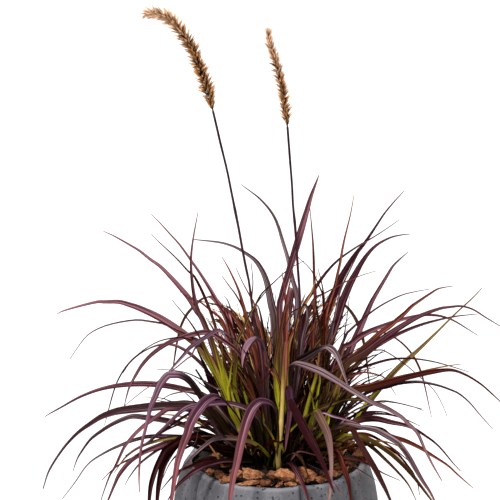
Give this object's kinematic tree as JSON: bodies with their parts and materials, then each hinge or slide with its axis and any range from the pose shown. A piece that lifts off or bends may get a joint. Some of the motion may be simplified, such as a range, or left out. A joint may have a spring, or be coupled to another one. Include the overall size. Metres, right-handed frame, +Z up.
{
  "type": "potted fountain grass",
  "caption": "Purple fountain grass clump with bristly flower spikes, growing in a folded cast-concrete planter topped with bark chips.",
  "frame": {"origin": "middle of the planter's flat base, on the surface it stands on", "axes": "+Z up along the planter's axis, -Y toward the viewer of the picture, +X to that viewer's right"},
  "size_m": [0.764, 0.5859, 1.0413],
  "materials": {
    "concrete": "matt cast concrete with small pits and soft pressed folds",
    "soil": "dark moist potting mix of peat, fine bark and fibre",
    "bark": "rough red-brown conifer bark chips",
    "crown_straw": "packed bases of old shoots, straw brown",
    "culm_green": "smooth yellow-green stems in leaf sheaths",
    "stalk_brown": "thin stiff dark brown flower stalk",
    "spike_tan": "dry bristly spikelets, golden tan",
    "leaf_purple": "dark aubergine blade with a soft satin sheen",
    "leaf_red": "burgundy red blade with a soft satin sheen",
    "leaf_olive": "olive and brown-purple blade with a soft satin sheen",
    "leaf_grey": "grey-purple blade with a soft satin sheen",
    "leaf_violet": "violet-pink upper face of a blade, satin"
  },
  "bodies": {
    "root": {"bark_mulch": "bark", "crown": "crown_straw", "culm_centre": "culm_green", "culm_left": "culm_green", "culm_left_inner": "culm_green", "culm_right": "culm_green", "culm_right_outer": "culm_green", "flower_spike_left": "spike_tan", "flower_spike_right": "spike_tan", "flower_stalk_left": "stalk_brown", "flower_stalk_right": "stalk_brown", "leaf_back_centre_left": "leaf_purple", "leaf_back_centre_right": "leaf_purple", "leaf_back_left": "leaf_red", "leaf_back_left_low": "leaf_purple", "leaf_back_right": "leaf_olive", "leaf_back_right_low": "leaf_red", "leaf_front_left_olive": "leaf_olive", "leaf_front_left_purple": "leaf_purple", "leaf_front_ribbon": "leaf_violet", "leaf_front_right_maroon": "leaf_red", "leaf_front_right_ribbon": "leaf_violet", "leaf_front_small": "leaf_purple", "leaf_front_violet": "leaf_violet", "leaf_left_brown": "leaf_grey", "leaf_left_dark_arch": "leaf_purple", "leaf_left_grey": "leaf_grey", "leaf_left_hanging": "leaf_purple", "leaf_left_hook": "leaf_violet", "leaf_left_kinked": "leaf_purple", "leaf_left_long_red": "leaf_red", "leaf_left_low_olive": "leaf_olive", "leaf_left_olive": "leaf_olive", "leaf_left_pink_arch": "leaf_violet", "leaf_left_ribbon": "leaf_violet", "leaf_left_violet_fold": "leaf_violet", "leaf_right_arch_broad": "leaf_purple", "leaf_right_arch_slim": "leaf_purple", "leaf_right_grey_long": "leaf_violet", "leaf_right_hanging": "leaf_olive", "leaf_right_maroon": "leaf_purple", "leaf_right_olive_arch": "leaf_olive", "leaf_right_olive_low": "leaf_olive", "leaf_right_orange_stripe": "leaf_red", "leaf_right_orange_tip": "leaf_red", "leaf_right_slim_low": "leaf_purple", "leaf_right_stiff": "leaf_red", "leaf_right_straight": "leaf_olive", "leaf_right_violet_fold": "leaf_violet", "leaf_right_violet_low": "leaf_violet", "leaf_top_grey": "leaf_grey", "leaf_top_right_dark": "leaf_purple", "leaf_top_right_violet": "leaf_violet", "leaf_top_slim": "leaf_purple", "leaf_top_tall": "leaf_olive", "leaf_upper_left_maroon": "leaf_red", "leaf_upper_left_red": "leaf_red", "leaf_upper_left_slim": "leaf_purple", "planter": "concrete", "potting_soil": "soil"}
  },
  "joints": []
}
